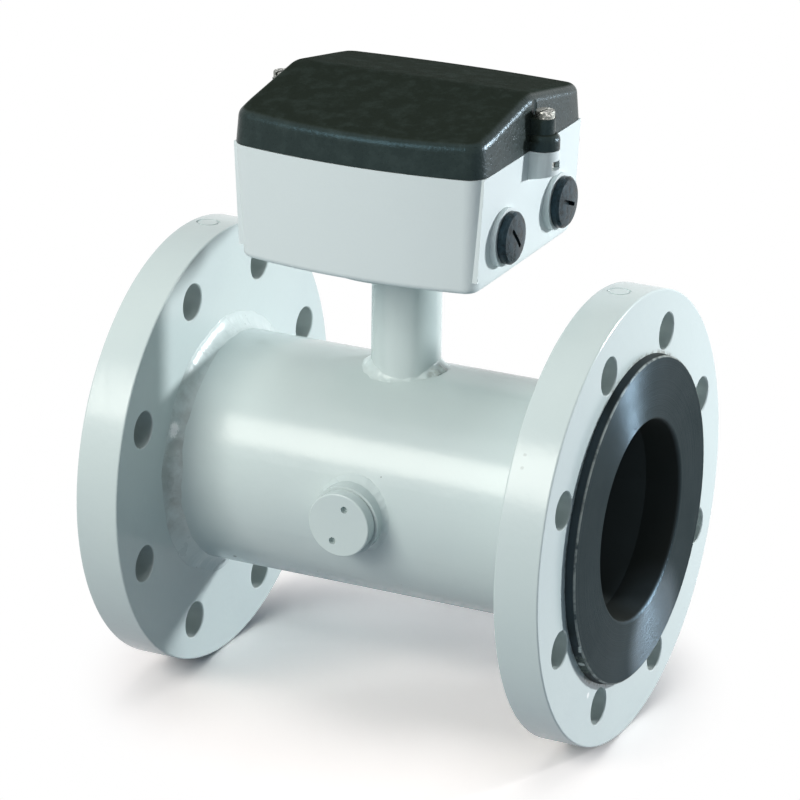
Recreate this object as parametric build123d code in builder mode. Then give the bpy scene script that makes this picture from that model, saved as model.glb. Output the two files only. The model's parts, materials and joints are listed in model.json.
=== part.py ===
from build123d import *
import os
from math import cos, degrees, radians, sin, sqrt

os.makedirs("parts", exist_ok=True)

# Flanged magnetic flow meter for a DN 100 line, in millimetres.
# The pipe axis is X, +Z points to the terminal box, the origin is on the
# axis half way between the flanges, and the front electrode is at -Y.

# Flanges
face_to_face = 248.4
flange_d = 220.0
flange_t = 22.0
bolt_rim = 20.0
bolt_hole_d = 18.0
bolt_count = 8
flange_edge_r = 0.9
bolt_edge = 0.5
ring_mark_r = 5.8
ring_mark_w = 1.1
ring_mark_depth = 0.45
ring_mark_x_shift = -2.2
ring_mark_y = 6.0

# Outer pipe and its welds
pipe_d = 114.3
pipe_wall = 2.9
pipe_fit = 0.3
weld_leg_flange = 7.5
weld_leg_pipe = 5.0
weld_sag = 0.7

# Liner and measuring tube
liner_raise = 4.7
liner_hole_gap = 1.6
liner_taper = 0.6
liner_edge_r = 0.9
mouth_wall = 8.75
mouth_lip_r = 1.6
throat_wall = 6.05
throat_half = 60.0
mouth_straight = 18.0
coil_room = 12.7
tube_mid_half = 62.0
tube_wall = 2.3
tube_cone_x = 98.0
tube_end_gap = 0.5
nest_gap = 0.2
liner_gap = 0.1

# Neck
neck_d = 33.7
neck_wall = 3.2
neck_weld_leg = 4.2
neck_plate_r = 46.0
neck_plate_t = 5.0
neck_plate_edge_r = 0.8
neck_top_weld = 3.0
neck_seal_t = 1.1
neck_seal_margin = 2.0

# Terminal box
box_half_x = 64.0
box_half_y = 65.0
box_flat_y = 40.0
box_panel_y = 54.5
box_flat_step = 0.4
box_end_drop = 1.0
box_side_drop = 6.8
box_corner_r = 9.0
box_bottom_z = 118.6
box_top_z = 174.5
box_draft = 3.0
box_wall = 3.2
box_floor = 4.0
box_bottom_r = 3.0

# Cable entries and blanking plugs, M20 x 1.5
entry_y = 30.0
entry_z = 140.4
entry_r = 10.0
entry_stand = 1.2
entry_collar_r = 13.9
plug_head_r = 12.4
plug_face_r = 11.2
plug_head_t = 3.7
plug_dome = 0.7
plug_thread_l = 8.0
plug_lead_in = 1.0
plug_wall = 2.7
plug_fit = 0.05
plug_gap = 0.3
plug_slot_l = 13.6
plug_slot_w = 2.0
plug_slot_depth = 1.8
plug_seal_w = 1.4
plug_seal_t = 1.6
plug_angles = {"right_front": -49.0, "right_rear": -21.0, "left_front": 34.0, "left_rear": -12.0}

# Lid
lid_gap = 0.3
lid_draft = 4.0
lid_wall = 3.0
lid_eave_z = 189.6
lid_ridge_z = 200.8
lid_ridge_r = 25.0
lid_edge_r = 5.0
gasket_out = 1.8
gasket_w = 1.5
gasket_h = 2.0
gasket_gap = 0.1

# Lid screws (M5), their lugs and nuts
screw_out = 4.0
screw_y = 2.5
screw_r = 2.5
screw_head_r = 4.6
screw_head_h = 3.6
screw_seat_z = 189.5
screw_l = 25.0
screw_end_gap = 1.0
screw_bore_r = 2.8
screw_slot_w = 1.2
screw_slot_depth = 1.6
screw_slot_angle = 75.0
driver_notch_r = 6.0
lug_r = 7.4
lug_neck_r = 5.0
lug_web = 12.8
lug_shoulder_z = 182.4
lug_shoulder_r = 3.4
lug_inner_z = 160.2
lug_outer_z = 163.2
nut_side = 8.0
nut_t = 4.0
nut_z = 167.5
nut_fit = 0.2
screw_fit = 0.05
retainer_r = 3.9
retainer_t = 0.8
retainer_z = 176.4
retainer_room = 0.4
retainer_pocket_top = 184.0

# Electrode boss and cap
boss_r = 17.0
boss_bore_r = 12.05
boss_stand = 7.35
boss_sink = 0.65
boss_weld_leg = 3.6
cap_r = 15.75
cap_stand = 7.2
cap_edge_r = 0.8
cap_thread_l = 6.5
cap_recess_r = 8.5
cap_recess_rise = 2.5
cap_fit = 0.05
cap_seal_t = 0.8
cap_seal_w = 2.0
spanner_d = 3.5
spanner_circle_d = 17.8
spanner_depth = 3.0
spanner_lean = 20.0
hole_fit = 0.05

# Electrode
electrode_r = 2.0
electrode_head_r = 4.0
electrode_head_t = 2.0
electrode_back = 0.65
bush_r = 4.9
bush_flange_r = 8.0
bush_flange_t = 2.0
bush_fit = 0.1
cup_washer_r = 5.5
cup_washer_t = 0.6
cup_washer_rise = 0.7
cup_washer_count = 3
electrode_nut_flats = 7.0
electrode_nut_t = 3.2

# Coils
coil_in_gap = 0.6
coil_t = 5.0
coil_half_x = 40.0
coil_bar = 11.0
coil_half_angle = 52.0
pole_t = 2.0
pole_gap = 0.4
pole_lean = 1.0
yoke_t = 1.2
yoke_half_x = 30.0
yoke_gap = 0.5
yoke_window_r = 19.0

# Terminal board
board_room_x = 22.0
board_room_y = 30.0
board_t = 1.6
board_z = 132.0
board_hole_in = 5.0
board_screw_r = 1.5
board_head_r = 2.8
board_head_h = 1.8
post_r = 4.0
block_l = 50.0
block_w = 11.0
block_h = 13.0
block_row_y = 20.0
block_ways = 8
block_wire_r = 1.8
block_screw_r = 2.0
lead_r = 4.0
lead_gap = 1.0
box_screw_r = 2.5
box_screw_circle_r = 34.0
box_screw_head_r = 4.5
box_screw_head_h = 3.0

# Places that follow from the sizes above
bolt_circle_d = flange_d - 2 * bolt_rim
flange_face_x = face_to_face / 2 - liner_raise
flange_back_x = flange_face_x - flange_t
flange_mid_x = flange_face_x - flange_t / 2
pipe_r = pipe_d / 2
pipe_in_r = pipe_r - pipe_wall
flange_bore_r = pipe_r + pipe_fit
pipe_end_x = flange_face_x - tube_end_gap
tube_end_r = pipe_in_r - nest_gap
tube_end_in_r = tube_end_r - tube_wall
tube_mid_r = pipe_r - coil_room
tube_mid_in_r = tube_mid_r - tube_wall
liner_foot_r = bolt_circle_d / 2 - bolt_hole_d / 2 - liner_hole_gap
liner_face_r = liner_foot_r - liner_taper
mouth_r = pipe_r - mouth_wall
throat_r = tube_mid_in_r - liner_gap - throat_wall
boss_face = pipe_r + boss_stand
boss_inner = pipe_in_r - boss_sink
cap_face = boss_face + cap_stand
cap_recess_top = boss_face + cap_recess_rise
electrode_end = pipe_r - electrode_back
neck_r = neck_d / 2
neck_in_r = neck_r - neck_wall
plate_top_z = box_bottom_z - neck_seal_t
plate_bottom_z = plate_top_z - neck_plate_t
lid_bottom_z = box_top_z + lid_gap
coil_in_r = tube_mid_r + coil_in_gap
box_floor_z = box_bottom_z + box_floor
entry_face_x = box_half_x + entry_stand
screw_x = box_half_x + screw_out
board_x = 2 * (box_half_x - board_room_x)
board_y = 2 * (box_half_y - board_room_y)
board_hole_x = board_x - 2 * board_hole_in
board_hole_y = board_y - 2 * board_hole_in


def save(builder, name):
    """Label a finished piece and write it."""
    builder.part.label = name
    export_step(builder.part, f"parts/{name}.step")


def circles(builder, radius):
    """The round edges of that radius."""
    edges = builder.edges().filter_by(GeomType.CIRCLE)
    return edges.filter_by(lambda edge: abs(edge.radius - radius) < 1e-3)


def revolved(points, axis):
    """A turned piece: its half section in the XY plane, round an axis."""
    with BuildPart() as piece:
        with BuildSketch():
            with BuildLine():
                Polyline(points, close=True)
            make_face()
        revolve(axis=axis)
    return piece


# Flanges: plate with bolt holes, a ring stamped into the rim
def flange(side):
    outer = side * flange_face_x
    with BuildPart() as mark:
        with BuildSketch(Plane.XY.offset(flange_d / 2 - 4 * ring_mark_depth)):
            with Locations((side * flange_mid_x + ring_mark_x_shift, ring_mark_y)):
                Circle(ring_mark_r)
                Circle(ring_mark_r - ring_mark_w, mode=Mode.SUBTRACT)
        extrude(amount=8 * ring_mark_depth)
        with BuildSketch(Plane.YZ.offset(-face_to_face)):
            Circle(flange_d / 2 - ring_mark_depth)
        extrude(amount=2 * face_to_face, mode=Mode.SUBTRACT)
    with BuildPart() as plate:
        with BuildSketch(Plane.YZ.offset(min(outer, side * flange_back_x))):
            Circle(flange_d / 2)
            Circle(flange_bore_r, mode=Mode.SUBTRACT)
        extrude(amount=flange_t)
        fillet(circles(plate, flange_d / 2), flange_edge_r)
        with BuildSketch(Plane.YZ.offset(min(outer, side * flange_back_x))):
            with PolarLocations(bolt_circle_d / 2, bolt_count, start_angle=180 / bolt_count):
                Circle(bolt_hole_d / 2)
        extrude(amount=flange_t, mode=Mode.SUBTRACT)
        chamfer(circles(plate, bolt_hole_d / 2), bolt_edge)
        add(mark.part, mode=Mode.SUBTRACT)
    return plate


save(flange(-1), "flange_left")
save(flange(1), "flange_right")

# Outer pipe with its openings for the neck and the two electrode bosses
with BuildPart() as body_tube:
    with BuildSketch(Plane.YZ.offset(-pipe_end_x)):
        Circle(pipe_r)
        Circle(pipe_in_r, mode=Mode.SUBTRACT)
    extrude(amount=2 * pipe_end_x)
    with BuildSketch(Plane.XZ.offset(-pipe_d)):
        Circle(boss_r + hole_fit)
    extrude(amount=2 * pipe_d, mode=Mode.SUBTRACT)
    with BuildSketch():
        Circle(neck_in_r)
    extrude(amount=pipe_d, mode=Mode.SUBTRACT)
save(body_tube, "body_tube")


# Fillet weld between pipe and flange: slightly hollow, with a toe on each
def flange_weld(side):
    corner = side * flange_back_x
    on_pipe = side * (flange_back_x - weld_leg_pipe)
    middle = (corner + on_pipe) / 2 + side * weld_sag / 2
    with BuildPart() as bead:
        with BuildSketch():
            with BuildLine():
                Line((corner, pipe_r), (on_pipe, pipe_r))
                ThreePointArc(
                    (on_pipe, pipe_r),
                    (middle, pipe_r + weld_leg_flange / 2 - weld_sag),
                    (corner, pipe_r + weld_leg_flange),
                )
                Line((corner, pipe_r + weld_leg_flange), (corner, pipe_r))
            make_face()
        revolve(axis=Axis.X)
    return bead


save(flange_weld(-1), "weld_flange_left")
save(flange_weld(1), "weld_flange_right")


def joint_bead(plane, radius, reach, leg):
    """The weld bead round a round stub on the pipe, with equal legs."""
    with BuildPart() as stub:
        with BuildSketch(Plane.YZ.offset(-2 * radius)):
            Circle(pipe_r)
        extrude(amount=4 * radius)
        with BuildSketch(plane):
            Circle(radius)
        extrude(amount=reach)
        foot = stub.edges().filter_by(GeomType.BSPLINE).sort_by(Axis.Z if plane == Plane.XY else Axis.Y)
        chamfer(foot, leg)
        with BuildSketch(Plane.YZ.offset(-2 * radius)):
            Circle(pipe_r)
        extrude(amount=4 * radius, mode=Mode.SUBTRACT)
        with BuildSketch(plane):
            Circle(radius)
        extrude(amount=reach, mode=Mode.SUBTRACT)
    return stub


# Neck: upright pipe, its foot cut to the round of the outer pipe
with BuildPart() as neck:
    with BuildSketch():
        Circle(neck_r)
        Circle(neck_in_r, mode=Mode.SUBTRACT)
    extrude(amount=plate_bottom_z)
    with BuildSketch(Plane.YZ.offset(-neck_d)):
        Circle(pipe_r)
    extrude(amount=2 * neck_d, mode=Mode.SUBTRACT)
save(neck, "neck")
save(joint_bead(Plane.XY, neck_r, plate_bottom_z, neck_weld_leg), "weld_neck")

# Round plate on the neck, the weld under it and the flat seal on it
with BuildPart() as neck_plate:
    with BuildSketch(Plane.XY.offset(plate_bottom_z)):
        Circle(neck_plate_r)
        Circle(neck_in_r, mode=Mode.SUBTRACT)
        with PolarLocations(box_screw_circle_r, 4):
            Circle(box_screw_r + screw_fit, mode=Mode.SUBTRACT)
    extrude(amount=neck_plate_t)
    fillet(circles(neck_plate, neck_plate_r), neck_plate_edge_r)
save(neck_plate, "neck_plate")

weld_neck_plate = revolved(
    [
        (neck_r, plate_bottom_z),
        (neck_r, plate_bottom_z - neck_top_weld),
        (neck_r + neck_top_weld, plate_bottom_z),
    ],
    Axis.Y,
)
weld_neck_plate.part = weld_neck_plate.part.rotate(Axis.X, 90)
save(weld_neck_plate, "weld_neck_plate")

with BuildPart() as neck_seal:
    with BuildSketch(Plane.XY.offset(plate_top_z)):
        Circle(neck_plate_r - neck_seal_margin)
        Circle(neck_in_r, mode=Mode.SUBTRACT)
        with PolarLocations(box_screw_circle_r, 4):
            Circle(box_screw_r + nut_fit, mode=Mode.SUBTRACT)
    extrude(amount=neck_seal_t)
save(neck_seal, "neck_seal")


# Plan outline of box and lid: flat in the middle of the ends, bowed sides
def outline(z, inset, step=0.0):
    half_x = box_half_x - inset - step
    half_y = box_half_y - inset
    end_x = box_half_x - box_end_drop - inset
    end_y = box_half_y - box_side_drop - inset
    with BuildSketch(Plane.XY.offset(z)) as plan:
        with BuildLine():
            for sx in (1, -1):
                Line((sx * half_x, -box_flat_y), (sx * half_x, box_flat_y))
                for sy in (1, -1):
                    Spline(
                        (sx * half_x, sy * box_flat_y),
                        (sx * end_x, sy * end_y),
                        tangents=[(0, sy), (-sx * 2 * box_end_drop / (box_half_y - box_flat_y), sy)],
                    )
            for sy in (1, -1):
                ThreePointArc((-end_x, sy * end_y), (0, sy * half_y), (end_x, sy * end_y))
        make_face()
        corners = plan.vertices().filter_by(lambda v: abs(v.Y) > (box_flat_y + end_y) / 2)
        fillet(corners, box_corner_r - inset / 2)
    return plan


def drafted(z0, z1, inset0, inset1, step=0.0):
    """A solid between two outlines, one above the other."""
    low = outline(z0, inset0, step)
    high = outline(z1, inset1, step)
    with BuildPart() as block:
        add(low.sketch)
        add(high.sketch)
        loft()
    return block


box_slope = sin(radians(box_draft)) / cos(radians(box_draft))
box_h = box_top_z - box_bottom_z


def lug_plan(side, radius, z):
    """Plan of a lug: half round about the screw, with a web to the wall."""
    with BuildSketch(Plane.XY.offset(z)) as plan:
        with Locations((side * screw_x, screw_y)):
            Circle(radius)
        with Locations((side * (screw_x - lug_web / 2), screw_y)):
            Rectangle(lug_web, 2 * radius)
    return plan


with BuildPart() as box_lugs:
    for side in (1, -1):
        add(lug_plan(side, lug_r, lug_inner_z).sketch)
    extrude(amount=box_top_z - lug_inner_z)
    with BuildSketch(Plane.XZ.offset(-box_half_y)):
        for side in (1, -1):
            with BuildLine():
                Polyline(
                    (0, box_top_z),
                    (side * (screw_x + 2 * lug_r), box_top_z),
                    (side * (screw_x + lug_r), lug_outer_z),
                    (side * (screw_x - lug_r), lug_inner_z),
                    (0, lug_inner_z),
                    close=True,
                )
            make_face()
    extrude(amount=2 * box_half_y, mode=Mode.INTERSECT)

with BuildPart() as terminal_box:
    add(drafted(box_bottom_z, box_top_z, box_h * box_slope, 0, box_flat_step).part)
    fillet(terminal_box.faces().sort_by(Axis.Z)[0].edges(), box_bottom_r)
    # flat panels on the ends, with the same draft as the wall
    with BuildSketch(Plane.XZ.offset(-box_panel_y)):
        with BuildLine():
            low_x = box_half_x - (box_h - 2 * box_bottom_r) * box_slope
            Polyline(
                (box_half_x, box_top_z),
                (low_x, box_bottom_z + 2 * box_bottom_r),
                (-low_x, box_bottom_z + 2 * box_bottom_r),
                (-box_half_x, box_top_z),
                close=True,
            )
        make_face()
    extrude(amount=2 * box_panel_y)
    add(box_lugs.part)
    # collars of the cable entries
    with BuildSketch(Plane.YZ.offset(-entry_face_x)):
        with Locations((-entry_y, entry_z), (entry_y, entry_z)):
            Circle(entry_collar_r)
    extrude(amount=2 * entry_face_x)
    add(
        drafted(
            box_floor_z,
            box_top_z,
            box_wall + (box_top_z - box_floor_z) * box_slope,
            box_wall,
            box_flat_step,
        ).part,
        mode=Mode.SUBTRACT,
    )
    # posts for the board
    with BuildSketch(Plane.XY.offset(box_floor_z)):
        with GridLocations(board_hole_x, board_hole_y, 2, 2):
            Circle(post_r)
    extrude(amount=board_z - box_floor_z)
    with BuildSketch(Plane.XY.offset(board_z)):
        with GridLocations(board_hole_x, board_hole_y, 2, 2):
            Circle(board_screw_r + screw_fit)
    extrude(amount=box_floor_z - board_z, mode=Mode.SUBTRACT)
    # cable entries, the way up from the neck, and the fixing holes
    with BuildSketch(Plane.YZ.offset(-box_half_x - lug_r)):
        with Locations((-entry_y, entry_z), (entry_y, entry_z)):
            Circle(entry_r)
    extrude(amount=2 * (box_half_x + lug_r), mode=Mode.SUBTRACT)
    with BuildSketch(Plane.XY.offset(box_bottom_z)):
        Circle(neck_in_r)
        with PolarLocations(box_screw_circle_r, 4):
            Circle(box_screw_r + nut_fit)
    extrude(amount=box_floor, mode=Mode.SUBTRACT)
    # nut slots open outwards, and screw holes from above
    for side in (1, -1):
        with BuildSketch(Plane.XY.offset(nut_z - nut_t / 2 - nut_fit)):
            with Locations((side * (screw_x + lug_r), screw_y)):
                Rectangle(2 * lug_r + nut_side + 2 * nut_fit, nut_side + 2 * nut_fit)
        extrude(amount=nut_t + 2 * nut_fit, mode=Mode.SUBTRACT)
        with BuildSketch(Plane.XY.offset(box_top_z)):
            with Locations((side * screw_x, screw_y)):
                Circle(screw_bore_r)
        hole_l = box_top_z - screw_seat_z + screw_l + screw_end_gap
        extrude(amount=-hole_l, mode=Mode.SUBTRACT)
save(terminal_box, "terminal_box")

# Board, its screws and the terminal blocks
board_top_z = board_z + board_t
with BuildPart() as terminal_board:
    with BuildSketch(Plane.XY.offset(board_z)):
        RectangleRounded(board_x, board_y, post_r)
        with GridLocations(board_hole_x, board_hole_y, 2, 2):
            Circle(board_screw_r + screw_fit, mode=Mode.SUBTRACT)
    extrude(amount=board_t)
save(terminal_board, "terminal_board")

with BuildPart() as board_screws:
    with BuildSketch(Plane.XY.offset(board_top_z)):
        with GridLocations(board_hole_x, board_hole_y, 2, 2):
            Circle(board_head_r)
    extrude(amount=board_head_h)
    with BuildSketch(Plane.XY.offset(board_top_z)):
        with GridLocations(board_hole_x, board_hole_y, 2, 2):
            Circle(board_screw_r)
    extrude(amount=box_floor_z + board_t - board_top_z)
    with BuildSketch(Plane.XY.offset(board_top_z + board_head_h)):
        with GridLocations(board_hole_x, board_hole_y, 2, 2):
            Rectangle(3 * board_head_r, board_screw_r / 2)
    extrude(amount=-board_head_h / 2, mode=Mode.SUBTRACT)
save(board_screws, "board_screws")

block_pitch = block_l / block_ways
with BuildPart() as terminal_blocks:
    with BuildSketch(Plane.XY.offset(board_top_z)):
        with Locations((0, -block_row_y), (0, block_row_y)):
            Rectangle(block_l, block_w)
    extrude(amount=block_h)
    with BuildSketch(Plane.XY.offset(board_top_z + block_h)):
        with GridLocations(block_pitch, 2 * block_row_y, block_ways, 2):
            Circle(block_screw_r)
    extrude(amount=-block_h / 2, mode=Mode.SUBTRACT)
    for side in (1, -1):
        outer_y = side * (block_row_y + block_w / 2)
        with BuildSketch(Plane.XZ.offset(-outer_y)):
            with Locations((0, board_top_z + block_h / 3)):
                with GridLocations(block_pitch, 1, block_ways, 1):
                    Circle(block_wire_r)
        extrude(amount=side * block_w / 2, mode=Mode.SUBTRACT)
save(terminal_blocks, "terminal_blocks")

# Lead from the coils and electrodes up the neck to the board
with BuildPart() as signal_lead:
    lead_foot = coil_in_r + pole_t + pole_gap
    with BuildSketch(Plane.XY.offset(lead_foot)):
        Circle(lead_r)
    extrude(amount=board_z - pole_gap - lead_foot)
save(signal_lead, "signal_lead")

# Screws that hold the box on the neck plate, heads inside the box
with BuildPart() as box_screws:
    steps = ((box_screw_head_h, box_screw_head_r), (plate_bottom_z - box_floor_z, box_screw_r))
    for height, radius in steps:
        with BuildSketch(Plane.XY.offset(box_floor_z)):
            with PolarLocations(box_screw_circle_r, 4):
                Circle(radius)
        extrude(amount=height)
    with BuildSketch(Plane.XY.offset(box_floor_z + box_screw_head_h)):
        with PolarLocations(box_screw_circle_r, 4):
            RegularPolygon(box_screw_r, 6)
    extrude(amount=-box_screw_head_h / 2, mode=Mode.SUBTRACT)
save(box_screws, "box_screws")


# Blanking plug: domed head with a coin slot, threaded shank, seal under the head
def blanking_plug(side, y, angle):
    under = entry_face_x + plug_gap
    front = under + plug_head_t
    seal_out_r = entry_r + plug_fit + plug_gap + plug_seal_w
    groove_x = entry_face_x + plug_seal_t + plug_fit
    with BuildPart() as plug:
        with BuildSketch():
            with BuildLine():
                Polyline(
                    (front + plug_dome, 0),
                    (entry_face_x - plug_thread_l, 0),
                    (entry_face_x - plug_thread_l, entry_r - plug_lead_in),
                    (entry_face_x - plug_thread_l + plug_lead_in, entry_r - plug_fit),
                    (groove_x, entry_r - plug_fit),
                    (groove_x, seal_out_r + plug_fit),
                    (under, seal_out_r + plug_fit),
                    (under, plug_head_r),
                    (front - plug_head_r + plug_face_r, plug_head_r),
                    (front, plug_face_r),
                )
                ThreePointArc(
                    (front, plug_face_r),
                    (front + plug_dome * 0.75, plug_face_r / 2),
                    (front + plug_dome, 0),
                )
            make_face()
        revolve(axis=Axis.X)
        with BuildSketch(Plane.YZ.offset(front + plug_dome)):
            SlotOverall(plug_slot_l, plug_slot_w, rotation=side * angle)
        extrude(amount=-plug_slot_depth - plug_dome, mode=Mode.SUBTRACT)
        with BuildSketch(Plane.YZ.offset(entry_face_x - plug_thread_l)):
            Circle(entry_r - plug_wall)
        extrude(amount=plug_thread_l, mode=Mode.SUBTRACT)
    with BuildPart() as seal:
        with BuildSketch(Plane.YZ.offset(entry_face_x)):
            Circle(seal_out_r)
            Circle(entry_r + plug_fit, mode=Mode.SUBTRACT)
        extrude(amount=plug_seal_t)
    turn = 0 if side > 0 else 180
    for piece in (plug, seal):
        piece.part = Pos(0, y, entry_z) * (Rot(0, 0, turn) * piece.part)
    return plug, seal


for name, angle in plug_angles.items():
    side = 1 if name.startswith("right") else -1
    plug, seal = blanking_plug(side, -entry_y if name.endswith("front") else entry_y, angle)
    save(plug, f"plug_{name}")
    save(seal, f"plug_seal_{name}")

# Lid: drafted skirt under a low gable roof, hollow, with two screw lugs
lid_slope = sin(radians(lid_draft)) / cos(radians(lid_draft))
roof_slope = (lid_ridge_z - lid_eave_z) / box_half_y


def lid_block(inset, drop):
    """The lid's form between its rim and its roof, set in and lowered."""
    top = lid_ridge_z + lid_edge_r
    walls = drafted(lid_bottom_z - drop, top, inset, inset + (top - lid_bottom_z) * lid_slope)
    ridge = lid_ridge_z - drop
    soft = lid_ridge_r * roof_slope
    with BuildPart() as block:
        with BuildSketch(Plane.YZ.offset(-2 * box_half_x)):
            with BuildLine():
                eave = ridge - roof_slope * 2 * box_half_y
                near = ridge - roof_slope * soft
                Line((-2 * box_half_y, eave), (-soft, near))
                ThreePointArc((-soft, near), (0, ridge - roof_slope * soft / 2), (soft, near))
                Polyline(
                    (soft, near),
                    (2 * box_half_y, eave),
                    (2 * box_half_y, lid_bottom_z - drop),
                    (-2 * box_half_y, lid_bottom_z - drop),
                    (-2 * box_half_y, eave),
                )
            make_face()
        extrude(amount=4 * box_half_x)
        add(walls.part, mode=Mode.INTERSECT)
    return block


with BuildPart() as lid_lugs:
    for side in (1, -1):
        with BuildSketch(Plane.XY.offset(lid_bottom_z)):
            with Locations((side * screw_x, screw_y)):
                Circle(lug_r)
        extrude(amount=lug_shoulder_z - lid_bottom_z)
    fillet(lid_lugs.faces().group_by(Axis.Z)[-1].edges(), lug_shoulder_r)
    for side in (1, -1):
        with BuildSketch(Plane.XY.offset(lid_bottom_z)):
            with Locations((side * (screw_x - lug_web / 2), screw_y)):
                Rectangle(lug_web, 2 * lug_r)
        extrude(amount=lug_shoulder_z - lug_shoulder_r - lid_bottom_z)
        add(lug_plan(side, lug_neck_r, lid_bottom_z).sketch)
        extrude(amount=screw_seat_z - lid_bottom_z)

with BuildPart() as lid:
    add(lid_block(0, 0).part)
    roof = lid.faces().filter_by(lambda face: face.normal_at().Z > 0.9)
    rim_of_roof = roof.edges().filter_by(
        lambda edge: abs(edge.center().X) > 1 or abs(edge.center().Y) > box_flat_y
    )
    fillet(rim_of_roof, lid_edge_r)
    add(lid_lugs.part)
    add(lid_block(lid_wall, lid_wall).part, mode=Mode.SUBTRACT)
    # rebate for the gasket, round the inside of the rim
    with BuildSketch(Plane.XY.offset(lid_bottom_z)):
        add(outline(lid_bottom_z, gasket_out - gasket_gap).sketch)
    extrude(amount=gasket_h - lid_gap + gasket_gap, mode=Mode.SUBTRACT)
    for side in (1, -1):
        screw_place = Locations((side * screw_x, screw_y))
        with BuildSketch(Plane.XY.offset(lid_bottom_z)):
            with screw_place:
                Circle(screw_bore_r)
        extrude(amount=screw_seat_z - lid_bottom_z, mode=Mode.SUBTRACT)
        with BuildSketch(Plane.XY.offset(lid_bottom_z)):
            with screw_place:
                Circle(retainer_r + retainer_room)
        extrude(amount=retainer_pocket_top - lid_bottom_z, mode=Mode.SUBTRACT)
        with BuildSketch(Plane.XY.offset(screw_seat_z)):
            with screw_place:
                Circle(driver_notch_r)
        extrude(amount=lid_ridge_z, mode=Mode.SUBTRACT)
save(lid, "lid")

with BuildPart() as lid_gasket:
    with BuildSketch(Plane.XY.offset(box_top_z)):
        add(outline(box_top_z, gasket_out).sketch)
        add(outline(box_top_z, gasket_out + gasket_w).sketch, mode=Mode.SUBTRACT)
    extrude(amount=gasket_h)
save(lid_gasket, "lid_gasket")

# Captive lid screws with their retaining rings, and the square nuts
for side, name in ((-1, "left"), (1, "right")):
    place = Locations((side * screw_x, screw_y))
    with BuildPart() as screw:
        with BuildSketch(Plane.XY.offset(screw_seat_z)):
            with place:
                Circle(screw_head_r)
        extrude(amount=screw_head_h)
        fillet(screw.faces().sort_by(Axis.Z)[-1].edges(), screw_head_r / 8)
        with BuildSketch(Plane.XY.offset(screw_seat_z)):
            with place:
                Circle(screw_r)
        extrude(amount=-screw_l)
        chamfer(screw.faces().sort_by(Axis.Z)[0].edges(), screw_r / 5)
        with BuildSketch(Plane.XY.offset(screw_seat_z + screw_head_h)):
            with place:
                Rectangle(3 * screw_head_r, screw_slot_w, rotation=screw_slot_angle)
        extrude(amount=-screw_slot_depth, mode=Mode.SUBTRACT)
    save(screw, f"lid_screw_{name}")
    with BuildPart() as ring:
        with BuildSketch(Plane.XY.offset(retainer_z)):
            with place:
                Circle(retainer_r)
                Circle(screw_r + screw_fit, mode=Mode.SUBTRACT)
        extrude(amount=retainer_t)
    save(ring, f"screw_ring_{name}")

with BuildPart() as lid_nuts:
    with BuildSketch(Plane.XY.offset(nut_z - nut_t / 2 - nut_fit)):
        with Locations((-screw_x, screw_y), (screw_x, screw_y)):
            Rectangle(nut_side, nut_side)
            Circle(screw_r + screw_fit, mode=Mode.SUBTRACT)
    extrude(amount=nut_t)
save(lid_nuts, "lid_nuts")


# Liner: rubber sleeve with flared faces, turned from one section
def liner_points(side):
    """Outside of one half: under the tube, up the flange, to the face's edge."""
    face_x = face_to_face / 2
    outer_end_r = tube_end_in_r - liner_gap
    return [
        (side * tube_mid_half, tube_mid_in_r - liner_gap),
        (side * tube_cone_x, outer_end_r),
        (side * flange_face_x, outer_end_r),
        (side * flange_face_x, liner_foot_r),
        (side * (face_x - liner_edge_r), liner_face_r + liner_edge_r * liner_taper / liner_raise),
    ]


with BuildPart() as liner:
    face_x = face_to_face / 2
    inner_x = face_x - mouth_straight
    quarter = 1 - sqrt(0.5)
    edge_turn = liner_edge_r * quarter
    lip_turn = mouth_lip_r * quarter
    with BuildSketch():
        with BuildLine():
            Polyline(liner_points(-1)[::-1] + liner_points(1))
            for side in (1, -1):
                edge = liner_points(side)[-1]
                flat = (side * face_x, liner_face_r - liner_edge_r)
                lip = (side * face_x, mouth_r + mouth_lip_r)
                ThreePointArc(edge, (side * (face_x - edge_turn), liner_face_r - edge_turn), flat)
                Line(flat, lip)
                ThreePointArc(
                    lip,
                    (side * (face_x - lip_turn), mouth_r + lip_turn),
                    (side * (face_x - mouth_lip_r), mouth_r),
                )
                Polyline(
                    (side * (face_x - mouth_lip_r), mouth_r),
                    (side * inner_x, mouth_r),
                    (side * throat_half, throat_r),
                )
            Line((-throat_half, throat_r), (throat_half, throat_r))
        make_face()
    revolve(axis=Axis.X)
    for side in (1, -1):
        with BuildSketch(Plane.XZ):
            Circle(electrode_head_r + hole_fit)
        extrude(amount=side * (throat_r + electrode_head_t), mode=Mode.SUBTRACT)
        with BuildSketch(Plane.XZ):
            Circle(electrode_r + bush_fit)
        extrude(amount=side * pipe_r, mode=Mode.SUBTRACT)
save(liner, "liner")

# Measuring tube: stainless, narrow in the middle, one piece with its cones
with BuildPart() as measuring_tube:
    with BuildSketch():
        with BuildLine():
            half = [(tube_mid_half, tube_mid_r), (tube_cone_x, tube_end_r), (pipe_end_x, tube_end_r)]
            inner = [(pipe_end_x, tube_end_in_r), (tube_cone_x, tube_end_in_r)]
            inner.append((tube_mid_half, tube_mid_in_r))
            right = half + inner
            left = [(-x, r) for x, r in right[::-1]]
            Polyline(right + left, close=True)
        make_face()
    revolve(axis=Axis.X)
    with BuildSketch(Plane.XZ.offset(-pipe_r)):
        Circle(bush_r + bush_fit)
    extrude(amount=2 * pipe_r, mode=Mode.SUBTRACT)
save(measuring_tube, "measuring_tube")

# Electrodes, one each side: boss, weld, cap, seal, pin, bush, washers, nut
bush_foot = tube_mid_r + liner_gap
washer_foot = bush_foot + bush_flange_t
washer_step = cup_washer_t + cup_washer_rise
nut_foot = washer_foot + cup_washer_count * washer_step


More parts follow.
